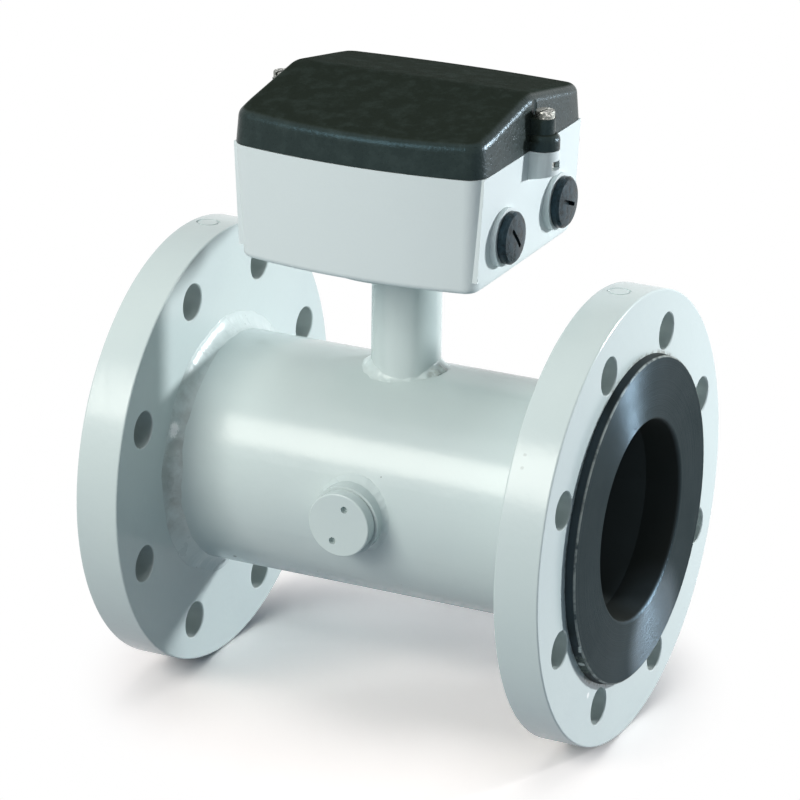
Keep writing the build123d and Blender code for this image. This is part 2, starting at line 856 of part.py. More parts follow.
def placed(builder, side):
    """A piece turned about +Y, carried to its side of the meter."""
    if side < 0:
        builder.part = Rot(0, 0, 180) * builder.part
    return builder


for side, name in ((-1, "front"), (1, "rear")):
    with BuildPart() as boss:
        with BuildSketch(Plane.XZ.offset(-boss_face)):
            Circle(boss_r)
            Circle(boss_bore_r, mode=Mode.SUBTRACT)
        extrude(amount=boss_face - boss_inner)
    save(placed(boss, side), f"boss_{name}")
    bead = joint_bead(Plane.XZ, boss_r, boss_face, boss_weld_leg)
    save(placed(bead, -side), f"weld_boss_{name}")

    cap_under = boss_face + cap_seal_t
    with BuildPart() as cap:
        with BuildSketch(Plane.XZ.offset(-cap_under)):
            Circle(cap_r)
        extrude(amount=cap_under - cap_face)
        fillet(cap.faces().sort_by(Axis.Y)[-1].edges(), cap_edge_r)
        with BuildSketch(Plane.XZ.offset(-cap_under)):
            Circle(boss_bore_r - cap_fit)
        extrude(amount=cap_thread_l)
        with BuildSketch(Plane.XZ.offset(-cap_recess_top)):
            Circle(cap_recess_r)
        extrude(amount=cap_recess_top, mode=Mode.SUBTRACT)
        with BuildSketch(Plane.XZ.offset(-cap_face)):
            with PolarLocations(spanner_circle_d / 2, 2, start_angle=90 - side * spanner_lean):
                Circle(spanner_d / 2)
        extrude(amount=spanner_depth, mode=Mode.SUBTRACT)
    save(placed(cap, side), f"cap_{name}")

    with BuildPart() as cap_seal:
        with BuildSketch(Plane.XZ.offset(-cap_under)):
            Circle(boss_bore_r + cap_seal_w)
            Circle(boss_bore_r, mode=Mode.SUBTRACT)
        extrude(amount=cap_seal_t)
    save(placed(cap_seal, side), f"cap_seal_{name}")

    electrode = revolved(
        [
            (0, throat_r),
            (electrode_head_r, throat_r),
            (electrode_head_r, throat_r + electrode_head_t),
            (electrode_r, throat_r + electrode_head_t),
            (electrode_r, electrode_end),
            (0, electrode_end),
        ],
        Axis.Y,
    )
    save(placed(electrode, side), f"electrode_{name}")

    electrode_bush = revolved(
        [
            (electrode_r + bush_fit, tube_mid_in_r),
            (bush_r, tube_mid_in_r),
            (bush_r, bush_foot),
            (bush_flange_r, bush_foot),
            (bush_flange_r, washer_foot),
            (electrode_r + bush_fit, washer_foot),
        ],
        Axis.Y,
    )
    save(placed(electrode_bush, side), f"electrode_bush_{name}")

    with BuildPart() as electrode_spring:
        for n in range(cup_washer_count):
            foot = washer_foot + n * washer_step
            rise = (0, cup_washer_rise) if n % 2 else (cup_washer_rise, 0)
            with BuildSketch():
                with BuildLine():
                    Polyline(
                        (electrode_r + bush_fit, foot + rise[0]),
                        (cup_washer_r, foot + rise[1]),
                        (cup_washer_r, foot + rise[1] + cup_washer_t),
                        (electrode_r + bush_fit, foot + rise[0] + cup_washer_t),
                        close=True,
                    )
                make_face()
            revolve(axis=Axis.Y)
    save(placed(electrode_spring, side), f"electrode_spring_{name}")

    with BuildPart() as electrode_nut:
        with BuildSketch(Plane.XZ.offset(-nut_foot - electrode_nut_t)):
            RegularPolygon(electrode_nut_flats / 2, 6, major_radius=False)
            Circle(electrode_r + screw_fit, mode=Mode.SUBTRACT)
        extrude(amount=electrode_nut_t)
    save(placed(electrode_nut, side), f"electrode_nut_{name}")


# Saddle coils with pole shoes, and the band that closes the field
def sector(radius, thickness, half_x, half_angle):
    """A curved plate round +Z, bounded by two planes through the axis."""
    far = 2 * radius
    with BuildPart() as plate:
        with BuildSketch(Plane.YZ.offset(-half_x)):
            Circle(radius + thickness)
            Circle(radius, mode=Mode.SUBTRACT)
            with BuildLine():
                Polyline(
                    (0, 0),
                    (far * sin(radians(half_angle)), far * cos(radians(half_angle))),
                    (0, 2 * far),
                    (-far * sin(radians(half_angle)), far * cos(radians(half_angle))),
                    close=True,
                )
            make_face(mode=Mode.INTERSECT)
        extrude(amount=2 * half_x)
    return plate


pole_half_x = coil_half_x - coil_bar - pole_gap
pole_half_angle = coil_half_angle - degrees(coil_bar / coil_in_r) - pole_lean
for side, name in ((1, "top"), (-1, "bottom")):
    with BuildPart() as coil:
        add(sector(coil_in_r, coil_t, coil_half_x, coil_half_angle).part)
        add(
            sector(
                coil_in_r - coil_in_gap,
                coil_t + 2 * coil_in_gap,
                coil_half_x - coil_bar,
                pole_half_angle + pole_lean,
            ).part,
            mode=Mode.SUBTRACT,
        )
    coil.part = Rot(0 if side > 0 else 180, 0, 0) * coil.part
    save(coil, f"coil_{name}")
    pole = sector(coil_in_r, pole_t, pole_half_x, pole_half_angle)
    pole.part = Rot(0 if side > 0 else 180, 0, 0) * pole.part
    save(pole, f"pole_{name}")

yoke_in_r = coil_in_r + coil_t + yoke_gap
with BuildPart() as yoke:
    with BuildSketch(Plane.YZ.offset(-yoke_half_x)):
        Circle(yoke_in_r + yoke_t)
        Circle(yoke_in_r, mode=Mode.SUBTRACT)
    extrude(amount=2 * yoke_half_x)
    with BuildSketch(Plane.XZ.offset(-pipe_d)):
        Circle(yoke_window_r)
    extrude(amount=2 * pipe_d, mode=Mode.SUBTRACT)
    with BuildSketch():
        Circle(lead_r + lead_gap)
    extrude(amount=pipe_d, mode=Mode.SUBTRACT)
save(yoke, "yoke")
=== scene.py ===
import json
import math

import bpy
import numpy as np
from mathutils import Matrix


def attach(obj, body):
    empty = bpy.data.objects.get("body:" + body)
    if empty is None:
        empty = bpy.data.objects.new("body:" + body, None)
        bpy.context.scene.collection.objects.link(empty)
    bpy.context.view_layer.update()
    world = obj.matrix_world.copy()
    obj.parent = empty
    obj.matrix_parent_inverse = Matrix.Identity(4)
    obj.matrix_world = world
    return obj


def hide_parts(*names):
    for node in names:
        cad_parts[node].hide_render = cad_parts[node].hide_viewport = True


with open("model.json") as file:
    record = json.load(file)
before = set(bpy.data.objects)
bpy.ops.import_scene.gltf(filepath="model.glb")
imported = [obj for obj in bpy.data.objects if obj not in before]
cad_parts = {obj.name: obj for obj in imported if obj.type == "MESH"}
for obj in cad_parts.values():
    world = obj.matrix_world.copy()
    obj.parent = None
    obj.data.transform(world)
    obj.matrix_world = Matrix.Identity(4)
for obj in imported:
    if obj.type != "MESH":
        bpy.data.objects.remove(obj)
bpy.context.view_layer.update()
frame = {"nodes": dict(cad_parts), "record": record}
nodes = frame["nodes"]
print("frame loaded:", len(nodes), "CAD nodes")


def tone(red, green, blue):
    # a screen colour from 0 to 255 as the linear colour that a shader takes
    def linear(c):
        c = c / 255
        return c / 12.92 if c <= 0.04045 else ((c + 0.055) / 1.055) ** 2.4
    return (linear(red), linear(green), linear(blue), 1.0)


black = (0.0, 0.0, 0.0, 1.0)
white = (1.0, 1.0, 1.0, 1.0)


class Wire:
    # a node's output that takes part in plain arithmetic; each operator adds one Math node
    def __init__(self, owner, socket):
        self.owner = owner
        self.socket = socket

    def math(self, operation, *others):
        return self.owner.maths(operation, self, *others)

    def __add__(self, other): return self.math("ADD", other)
    def __radd__(self, other): return self.math("ADD", other)
    def __sub__(self, other): return self.math("SUBTRACT", other)
    def __rsub__(self, other): return self.owner.maths("SUBTRACT", other, self)
    def __mul__(self, other): return self.math("MULTIPLY", other)
    def __rmul__(self, other): return self.math("MULTIPLY", other)
    def __pow__(self, other): return self.math("POWER", other)
    def __gt__(self, other): return self.math("GREATER_THAN", other)
    def __lt__(self, other): return self.math("LESS_THAN", other)
    def __abs__(self): return self.math("ABSOLUTE")


class Nodes:
    # one node tree; every node in it comes from node(type, settings, values or links, output)
    def __init__(self, tree):
        self.tree = tree
        self.place = self.node("TexCoord", out="Object")
        self.x, self.y, self.z = (self.node("SeparateXYZ", None, {0: self.place}, i) for i in range(3))

    def node(self, kind, settings=None, values=None, out=0):
        made = self.tree.nodes.new("ShaderNode" + kind)
        for key, value in (settings or {}).items():
            setattr(made, key, value)
        for key, value in (values or {}).items():
            if isinstance(value, Wire):
                self.tree.links.new(value.socket, made.inputs[key])
            else:
                made.inputs[key].default_value = value
        return Wire(self, made.outputs[out])

    def link(self, wire, kind, socket):
        # leads a wire into the tree's own node of this name
        self.tree.links.new(wire.socket, self.tree.nodes[kind].inputs[socket])

    def maths(self, operation, *terms):
        return self.node("Math", {"operation": operation}, dict(enumerate(terms)))

    def vector(self, operation, *terms, out=0):
        return self.node("VectorMath", {"operation": operation}, dict(enumerate(terms)), out)

    def noise(self, scale, detail=2.0, roughness=0.5, at=None, out=0):
        values = {"Vector": at or self.place, "Scale": scale, "Detail": detail, "Roughness": roughness}
        return self.node("TexNoise", None, values, out)

    def cells(self, scale, out="Distance"):
        return self.node("TexVoronoi", None, {"Vector": self.place, "Scale": scale}, out)

    def soft(self, value, low, high):
        # 0 at low, 1 at high, smooth between them
        settings = {"interpolation_type": "SMOOTHSTEP"}
        return self.node("MapRange", settings, {0: value, 1: low, 2: high, 3: 0.0, 4: 1.0})

    def cloudy(self, pattern):
        # a noise; with a fade it is 0 below the first value and 1 above the second; then times its share
        made = self.noise(*pattern["noise"])
        if "fade" in pattern:
            made = self.soft(made, *pattern["fade"])
        return made * pattern["share"] if "share" in pattern else made

    def ragged(self, scale, stray):
        # the place pushed about by noise, so that a spot's edge is uneven
        push = self.vector("SUBTRACT", self.noise(scale, 3, 0.6, out="Color"), (0.5, 0.5, 0.5))
        return self.vector("MULTIPLY_ADD", push, (stray, stray, stray), self.place)

    def near(self, spots, where=None):
        # 1 close to any of the spots, falling to 0 at their reach; then times their share
        total = 0
        for spot in spots["at"]:
            away = self.vector("DISTANCE", where or self.place, spot, out="Value")
            total = self.soft(away, spots["reach"], spots["reach"] * 0.4) + total
        total = total.math("MINIMUM", 1.0)
        return total * spots["share"] if "share" in spots else total

    def mix(self, first, second, factor):
        return self.node("Mix", {"data_type": "RGBA"}, {0: factor, 6: first, 7: second}, 2)

    def bump(self, height, distance):
        return self.node("Bump", None, {"Strength": 1.0, "Distance": distance, "Height": height})

    def fromAxis(self):
        # distance from the pipe's axis, which is the X axis
        return (self.y * self.y + self.z * self.z) ** 0.5

    def seen(self):
        # 1 for camera, glossy and transmission rays, which see the white background
        camera, glossy, through = (self.node("LightPath", out=f"Is {kind} Ray")
                                   for kind in ("Camera", "Glossy", "Transmission"))
        return camera.math("MAXIMUM", glossy).math("MAXIMUM", through)


class Finish(Nodes):
    # one material with a Principled shader; what is the same all over is set on the shader's own sockets
    names = {
        "colour": "Base Color", "roughness": "Roughness", "normal": "Normal", "metallic": "Metallic",
        "coat": "Coat Weight", "coatRoughness": "Coat Roughness", "ior": "IOR", "tint": "Specular Tint",
    }

    def __init__(self, name, **fixed):
        self.material = bpy.data.materials.new(name)
        self.material.use_nodes = True
        super().__init__(self.material.node_tree)
        self.shader = self.tree.nodes["Principled BSDF"]
        for key, value in fixed.items():
            self.shader.inputs[self.names[key]].default_value = value

    def feed(self, **sockets):
        for key, value in sockets.items():
            self.link(value, "Principled BSDF", self.names[key])
        return self.material

    def cover(self, ior, factor, **sockets):
        # a second Principled shader laid over the first by the factor
        values = {self.names[key]: value for key, value in sockets.items()}
        over = self.node("BsdfPrincipled", None, {"IOR": ior, **values})
        both = self.node("MixShader", None, {0: factor, 1: Wire(self, self.shader.outputs[0]), 2: over})
        self.link(both, "Material Output", "Surface")


def added(name, data):
    # a new object in the scene
    made = bpy.data.objects.new(name, data)
    bpy.context.scene.collection.objects.link(made)
    return made


def standing(side, over, away, at):
    # the matrix of an object whose X, Y and Z axes are these three, at this place
    rows = np.array([side, over, away, at]).T
    return Matrix([*rows.tolist(), (0.0, 0.0, 0.0, 1.0)])


view = {
    "azimuth": 25.65,  # degrees from the front towards the right flange
    "elevation": 20.923,
    "roll": 0.736,
    "target": (-0.003034, 0.0, 0.038229),
    "distance": 1.9127,
    "lens": 178.95,
    "sensor": 36.0,
    "clip": (0.05, 20.0),
}

az, el, roll = (math.radians(view[key]) for key in ("azimuth", "elevation", "roll"))
back = np.array([math.sin(az) * math.cos(el), -math.cos(az) * math.cos(el), math.sin(el)])
level = np.array([math.cos(az), math.sin(az), 0.0])
upright = np.cross(back, level)
right = math.cos(roll) * level + math.sin(roll) * upright
up = -math.sin(roll) * level + math.cos(roll) * upright

camera = added("camera", bpy.data.cameras.new("camera"))
camera.data.lens = view["lens"]
camera.data.sensor_width = view["sensor"]
camera.data.clip_start, camera.data.clip_end = view["clip"]
camera.matrix_world = standing(right, up, back, np.array(view["target"]) + back * view["distance"])
bpy.context.scene.camera = camera
print("camera placed")


light = {
    "aim": (0.0, 0.0, 0.03),  # the middle of the object, which every lamp faces
    "strip": {  # its image is the long highlight on the pipe
        "from": (-0.343, -0.770, 0.537),
        "distance": 2.2,
        "size": (0.84, 0.95),
        "brightness": 7.2,
        "colour": (1.0, 0.985, 0.90),
        "mirrored": True,
    },
    "front": {  # large fill that doesn't reach the faces turned to the right
        "from": (-0.25, -0.85, 0.45),
        "distance": 2.6,
        "size": (1.8, 1.6),
        "brightness": 3.3,
        "colour": (1.0, 1.0, 1.0),
        "mirrored": False,
    },
    "top": {  # straight above, so that the shadow on the paper lies under the pipe
        "from": (0.0, -0.07, 1.0),
        "distance": 1.8,
        "size": (1.0, 0.9),
        "brightness": 3.4,
        "colour": (0.97, 0.99, 1.0),
        "mirrored": False,
    },
    "lamp": {  # a small bright lamp, right and behind, low
        "at": (0.877, 0.780, 0.252),
        "size": 0.12,
        "power": 16.0,
        "colour": (0.95, 0.975, 1.0),
    },
    "ambient": (0.118, 0.137, 0.154, 1.0),
}


def aimed(item, direction, distance):
    # puts a lamp in this direction from the middle of the object, facing it
    away = np.array(direction) / np.linalg.norm(direction)
    side = np.cross([0.0, 0.0, 1.0], away)
    side = side / np.linalg.norm(side)
    item.matrix_world = standing(side, np.cross(away, side), away, np.array(light["aim"]) + away * distance)


def softbox(name):
    # brightness is what the box itself shows, so its power grows with its area
    setting = light[name]
    lamp = bpy.data.lights.new(name, "AREA")
    lamp.shape = "RECTANGLE"
    lamp.size, lamp.size_y = setting["size"]
    lamp.energy = setting["brightness"] * math.pi * lamp.size * lamp.size_y
    lamp.color = setting["colour"]
    made = added(name, lamp)
    made.visible_glossy = setting["mirrored"]
    aimed(made, setting["from"], setting["distance"])


def hardLamp(name):
    # a round lamp at a given place
    setting = light[name]
    lamp = bpy.data.lights.new(name, "AREA")
    lamp.shape = "DISK"
    lamp.size = setting["size"]
    lamp.energy = setting["power"]
    lamp.color = setting["colour"]
    offset = np.array(setting["at"]) - np.array(light["aim"])
    aimed(added(name, lamp), offset, np.linalg.norm(offset))


softbox("strip")
softbox("front")
softbox("top")
hardLamp("lamp")

world = bpy.data.worlds.new("studio")
world.use_nodes = True
bpy.context.scene.world = world
studio = Nodes(world.node_tree)
studio.link(studio.mix(light["ambient"], white, studio.seen()), "Background", "Color")


floor = {
    "height": -0.110,
    "half": 9.0,  # half its width
    "bounce": (0.215, 0.265, 0.315, 1.0),  # what the floor sends back up on the object
    "paper": (2.04, 1.87, 1.83, 1.0),  # over-exposed near the object, so only the shadow under it shows
    "lean": (-0.6, 0.35, 0.72),  # the paper's shading leans away from the side lamps
    "ends": (0.10, 0.165),  # between these distances the paper becomes pure white
}


def floorPaper(name):
    # the camera sees over-exposed paper that fades to glowing white; other rays meet plain matt paper
    material = bpy.data.materials.new(name)
    material.use_nodes = True
    made = Nodes(material.node_tree)
    made.tree.nodes.remove(made.tree.nodes["Principled BSDF"])
    away = made.vector("DISTANCE", made.place, (0.0, 0.0, floor["height"]), out="Value")
    far = made.soft(away, *floor["ends"])
    lean = made.vector("NORMALIZE", floor["lean"])
    shaded = made.node("BsdfDiffuse", None, {"Color": made.mix(floor["paper"], black, far), "Normal": lean})
    glow = made.node("Emission", None, {"Color": made.mix(black, white, far)})
    paper = made.node("AddShader", None, {0: shaded, 1: glow})
    matt = made.node("BsdfDiffuse", None, {"Color": floor["bounce"]})
    made.link(made.node("MixShader", None, {0: made.seen(), 1: matt, 2: paper}), "Material Output", "Surface")
    return material


half, height = floor["half"], floor["height"]
corners = [(-half, -half, height), (half, -half, height), (half, half, height), (-half, half, height)]
ground = bpy.data.meshes.new("floor")
ground.from_pydata(corners, [], [(0, 1, 2, 3)])
ground.materials.append(floorPaper("floorPaper"))
floorObject = added("floor", ground)
bpy.context.scene.view_settings.view_transform = "Standard"
print("light and floor ready")


# In the finishes a noise is given by its scale, detail and roughness, and spots by their places and reach in
# metres. A share says how strongly either of them counts.

paint = {
    "colour": tone(203, 215, 213),
    "shade": tone(193, 206, 207),
    "patches": {"noise": (11, 3, 0.6), "fade": (0.35, 0.7), "share": 0.35},
    "fine": {"noise": (700, 2, 0.5), "share": 0.2},
    "ior": 1.5,
    "roughness": 0.17,
    "weldRoughness": 0.24,
    "dull": {"noise": (60, 3, 0.6), "share": 0.08},  # slow changes of the roughness
    "peel": 0.00005,  # depth of the orange peel
    "peelFine": {"noise": (330, 2, 0.45)},
    "peelSlow": {"noise": (55, 2, 0.5), "share": 4.0},
    "speck": tone(120, 130, 128),
    "specks": {"scale": 150, "size": 0.055, "clean": 0.965, "share": 0.8},  # most cells stay clean
    "ragged": (900, 0.0012),  # unevenness of the spots' edges: scale, and how far they stray
    # a grey for real smudges and scuffs, and for painted shade in creases, at the liner's foot and in the weld
    # corners
    "smudgeAndShade": tone(120, 124, 116),
    # painted shade: the dark lines of two small creases
    "creaseShade": {"reach": 0.0013, "share": 0.8,
                "at": [(-0.0729, -0.0379, -0.0428), (-0.0737, -0.0370, -0.0436)]},
}


def paintFinish(name, marks, roughness):
    # satin paint with a faint orange peel, pale patches and a few dark specks, and then a piece's own marks,
    # some of which are painted shade and painted highlights
    made = Finish(name, ior=paint["ior"])
    shade = made.cloudy(paint["patches"]) + made.cloudy(paint["fine"])
    colour = made.mix(paint["colour"], paint["shade"], shade)
    specks = paint["specks"]
    chance = made.node("SeparateColor", None, {0: made.cells(specks["scale"], "Color")})
    speck = (made.cells(specks["scale"]) < specks["size"]) * (chance > specks["clean"])
    colour = marks(made, made.mix(colour, paint["speck"], speck * specks["share"]))
    peel = made.bump(made.cloudy(paint["peelFine"]) + made.cloudy(paint["peelSlow"]), paint["peel"])
    return made.feed(colour=colour, roughness=made.cloudy(paint["dull"]) + roughness, normal=peel)


def pipeMarks(made, colour):
    # painted shade in short creases in the paint, low on the pipe towards the left flange
    return made.mix(colour, paint["smudgeAndShade"], made.near(paint["creaseShade"], made.ragged(*paint["ragged"])))


flangeWearAndShade = {
    "faceX": 0.1192,  # what lies further out than this is the outer face
    "ring": (0.0818, 0.0792),  # the darker ring, partly wear and partly painted shade at the liner's foot, fades in between these radii, towards the liner
    "wearAndFootShade": {"noise": (240, 4, 0.7), "fade": (0.40, 0.66)},
    "scuffs": {"reach": 0.0026,
               "at": [(0.1197, -0.0461, -0.0646), (0.1197, -0.0489, -0.0625), (0.1197, -0.0515, -0.0604)]},
    "darkest": 0.75,  # most that the ring's wear and painted shade and the scuffs may darken
    "rimSpecks": {"reach": 0.0011, "share": 0.35,
                  "at": [(0.1033, -0.0911, 0.0616), (0.1034, -0.0944, 0.0565)]},
    "chips": {"reach": 0.0019, "at": [(0.1195, -0.0477, -0.0719)]},
    "chip": tone(244, 246, 244),
    "holes": 8,
    "holeCircle": 0.090,
    "holeEdge": (0.00925, 0.0091),  # the hole's wall begins between these distances from its axis
    "holeWallShade": tone(184, 192, 189),  # painted shade: darker, greyer paint inside the bolt holes
    "holeShadeShare": 0.85,
}


def flangeMarks(made, colour):
    # a darker ring round the liner's foot (partly wear, partly painted shade), scuffs, painted shade in the
    # bolt holes, specks on the rim and a bright chip
    radius = made.fromAxis()
    ring = made.soft(radius, *flangeWearAndShade["ring"]) * (abs(made.x) > flangeWearAndShade["faceX"])
    # partly wear, partly painted shade at the foot of the raised liner
    worn = ring * made.cloudy(flangeWearAndShade["wearAndFootShade"])
    uneven = made.ragged(*paint["ragged"])
    scuffed = made.near(flangeWearAndShade["scuffs"], uneven)
    # the angle from the nearest bolt hole, and with it the distance from that hole's axis
    step = 2 * math.pi / flangeWearAndShade["holes"]
    turn = made.z.math("ARCTAN2", made.y).math("WRAP", step, 0.0) - step / 2
    along = radius * turn.math("COSINE") - flangeWearAndShade["holeCircle"]
    aside = radius * turn.math("SINE")
    # painted shade on the walls of the bolt holes
    wall = made.soft((along * along + aside * aside) ** 0.5, *flangeWearAndShade["holeEdge"])
    colour = made.mix(colour, flangeWearAndShade["holeWallShade"], wall * flangeWearAndShade["holeShadeShare"])
    colour = made.mix(colour, paint["smudgeAndShade"], (worn + scuffed).math("MINIMUM", flangeWearAndShade["darkest"]))
    colour = made.mix(colour, paint["speck"], made.near(flangeWearAndShade["rimSpecks"], uneven))
    return made.mix(colour, flangeWearAndShade["chip"], made.near(flangeWearAndShade["chips"], uneven))


weldDirtShadeAndGlints = {
    # a dark patch at the right foot of the neck's bead: partly rough bare weld, partly painted shade
    "neckBeadDark": {"reach": 0.0050, "at": [(0.0186, -0.0068, 0.0575), (0.0202, 0.0, 0.0588)]},
    "neckBeadDarkPatches": {"noise": (420, 3, 0.6), "fade": (0.25, 0.7), "share": 0.6},
    # partly soot, partly painted shade in the front corner between the left flange and the pipe
    "beadStainsAndShade": {"reach": 0.026,
               "at": [(-0.0975, -0.0598, 0.0160), (-0.0975, -0.0563, -0.0112), (-0.0975, -0.0554, 0.0402)]},
    "beadStainAndShadePatches": {"noise": (90, 4, 0.6), "fade": (0.3, 0.75), "share": 0.5},
    "darkest": 0.8,
    # painted highlights: near-white spots that stand for glints of the lamp on the bead
    "paintedGlints": {"reach": 0.0034, "at": [(-0.0952, -0.0559, 0.0269), (-0.0933, -0.0553, 0.0281),
                                       (-0.0936, -0.0568, 0.0249), (-0.0951, -0.0571, 0.0242)]},
    "glint": tone(250, 252, 250),
    "ragged": (1000, 0.0030),
}


def weldMarks(made, colour):
    # a dark patch on the neck's bead, partly rough bare weld and partly painted shade; darker stains along the
    # left flange's bead, partly soot and partly painted shade in its front corner; and a few painted white
    # glints (painted highlights) there
    # partly rough bare weld, partly painted shade
    neckBeadDark = made.near(weldDirtShadeAndGlints["neckBeadDark"]) * made.cloudy(weldDirtShadeAndGlints["neckBeadDarkPatches"])
    # partly soot, partly painted shade in the bead's front corner
    stainAndShade = made.near(weldDirtShadeAndGlints["beadStainsAndShade"]) * made.cloudy(weldDirtShadeAndGlints["beadStainAndShadePatches"])
    colour = made.mix(colour, paint["smudgeAndShade"], (neckBeadDark + stainAndShade).math("MINIMUM", weldDirtShadeAndGlints["darkest"]))
    # painted highlights, white where the glints are
    glint = made.near(weldDirtShadeAndGlints["paintedGlints"], made.ragged(*weldDirtShadeAndGlints["ragged"]))
    return made.mix(colour, weldDirtShadeAndGlints["glint"], glint)


rubber = {
    "colour": tone(34, 35, 31),
    "turned": tone(12, 29, 29),  # the turned sealing faces
    # painted light: the bore's rubber is lighter than the rest, standing in for light that reaches into it
    "boreLightened": tone(42, 43, 38),
    "rim": tone(165, 170, 164),  # the pale edge of the sealing faces: partly wear, partly a painted highlight on their rounded edge
    "faceX": (0.1236, 0.1241),  # a sealing face begins between these distances from the middle
    "boreR": (0.0505, 0.0480),  # the bore's lighter colour (painted light) fades in between these radii
    "rimR": (0.0778, 0.0784),  # the pale edge fades in outwards between these radii
    "rimX": (0.1231, 0.1237),  # and between these distances from the middle
    "rimWear": {"noise": (160, 3, 0.7), "fade": (0.25, 0.6), "share": 0.8},
    "ior": 1.95,
    "tint": tone(165, 214, 246),
    "roughness": 0.27,
    "dull": {"noise": (30, 3, 0.6), "share": 0.06},
    "dirtRoughness": 0.3,  # added where dust or flakes lie, and in the bore
    "groovePitch": 0.00042,
    "grooveSlope": 0.66,
    "wander": {"noise": (90, 2, 0.5), "share": 2},  # how far the grooves wander, in radians of one groove
    "bandScale": 900,  # broader rings, which shift the grooves and make some deeper and darker
    "bandShift": 9,
    "bandDepth": (0.6, 0.55),  # what a band adds at most, and the least
    "bandColour": (0.5, 0.5),
    "mattIor": 1.02,
    "matt": 0.67,  # share that doesn't shine, before its patches and the polished sector
    "mattPatches": {"noise": (55, 2, 0.5), "share": 0.1},
    "polished": {"reach": 0.030, "share": 0.60,  # taken off the matt share
                 "at": [(0.1242, 0.0150, -0.0660), (0.1242, 0.0260, -0.0590)]},
    "flake": tone(206, 210, 204),
    "flakes": {"reach": 0.0012,
               "at": [(0.1231, -0.0678, -0.0408), (0.1236, -0.0694, -0.0380), (0.1234, -0.0686, -0.0394)]},
    "bigFlakes": {"reach": 0.0021, "at": [(0.1215, -0.0614, -0.0500)]},
    "dust": tone(104, 112, 102),
    "dustShare": 0.9,
    "dusty": {"reach": 0.0042,
              "at": [(0.1214, -0.0640, -0.0465), (0.1214, -0.0605, -0.0510), (0.1212, -0.0570, -0.0550)]},
    "dustPatches": {"noise": (700, 3, 0.6), "fade": (0.35, 0.62)},
    "ragged": (800, 0.0016),
}


def rubberFinish(name):
    # the sealing faces are turned: the normal leans in and out along the radius from groove to groove
    made = Finish(name, ior=rubber["ior"], tint=rubber["tint"])
    radius, middle = made.fromAxis(), abs(made.x)
    face = made.soft(middle, *rubber["faceX"])
    bands = made.noise(1.0, 3, 0.7, at=made.node("CombineXYZ", None, {0: radius * rubber["bandScale"]}))
    phase = radius * (2 * math.pi / rubber["groovePitch"]) + made.cloudy(rubber["wander"])
    phase = phase + bands * rubber["bandShift"]
    more, least = rubber["bandDepth"]
    lean = phase.math("SINE") * (bands * more + least) * face * rubber["grooveSlope"]
    outward = made.vector("NORMALIZE", made.node("CombineXYZ", None, {1: made.y, 2: made.z}))
    plain = made.node("NewGeometry", out="Normal")
    spread = made.node("CombineXYZ", None, {0: lean, 1: lean, 2: lean})
    leaning = made.vector("NORMALIZE", made.vector("MULTIPLY_ADD", outward, spread, plain))

    more, least = rubber["bandColour"]
    colour = made.mix(rubber["colour"], rubber["turned"], face * (bands * more + least))
    # painted light: lighter rubber inside the bore
    inside = made.soft(radius, *rubber["boreR"])
    colour = made.mix(colour, rubber["boreLightened"], inside)
    # partly wear, partly a painted highlight on the rounded edge of the sealing face
    rim = made.soft(radius, *rubber["rimR"]) * made.soft(middle, *rubber["rimX"])
    colour = made.mix(colour, rubber["rim"], rim * made.cloudy(rubber["rimWear"]))
    uneven = made.ragged(*rubber["ragged"])
    dust = made.near(rubber["dusty"], uneven) * made.cloudy(rubber["dustPatches"])
    colour = made.mix(colour, rubber["dust"], dust * rubber["dustShare"])
    flake = made.near(rubber["flakes"], uneven) + made.near(rubber["bigFlakes"], uneven)
    flake = flake.math("MINIMUM", 1.0)
    colour = made.mix(colour, rubber["flake"], flake)

    dull = made.cloudy(rubber["dull"]) + (dust + flake + inside) * rubber["dirtRoughness"]
    made.feed(colour=colour, roughness=dull + rubber["roughness"], normal=leaning)
    matt = made.cloudy(rubber["mattPatches"]) + rubber["matt"] - made.near(rubber["polished"])
    made.cover(rubber["mattIor"], matt, colour=colour)
    return made.material


box = {
    "colour": tone(218, 227, 227),
    "shade": tone(209, 219, 219),
    "patches": {"noise": (14, 2, 0.5), "share": 0.4},
    "grain": {"noise": (900, 2, 0.6)},
    "grainColour": 0.25,
    "grainRoughness": 0.1,
    "grainDepth": 0.00003,
    "ior": 1.46,
    "roughness": 0.42,
}


def boxFinish(name):
    # pale moulding with a fine grain and slow patches
    made = Finish(name, ior=box["ior"])
    grain = made.cloudy(box["grain"])
    shade = made.cloudy(box["patches"]) + grain * box["grainColour"]
    colour = made.mix(box["colour"], box["shade"], shade)
    rough = grain * box["grainRoughness"] + box["roughness"]
    return made.feed(colour=colour, roughness=rough, normal=made.bump(grain, box["grainDepth"]))


lid = {
    "colour": tone(36, 42, 36),
    "blotch": tone(62, 72, 68),
    "blotches": {"noise": (130, 4, 0.65), "fade": (0.42, 0.72), "share": 0.3},
    "pebbles": {"noise": (620, 3, 0.6)},
    "pebbleColour": 0.15,
    "pebbleDepth": 0.00022,
    "ior": 1.33,
    "tint": tone(165, 222, 255),
    "roughness": (0.12, 0.23),  # what the pebbles add at most, and the least
    "roofSlope": (0.72, 0.95),  # the roof begins between these values of the normal's upright part
    "roofIor": 1.02,
    "roofRoughness": (0.1, 0.5),
}


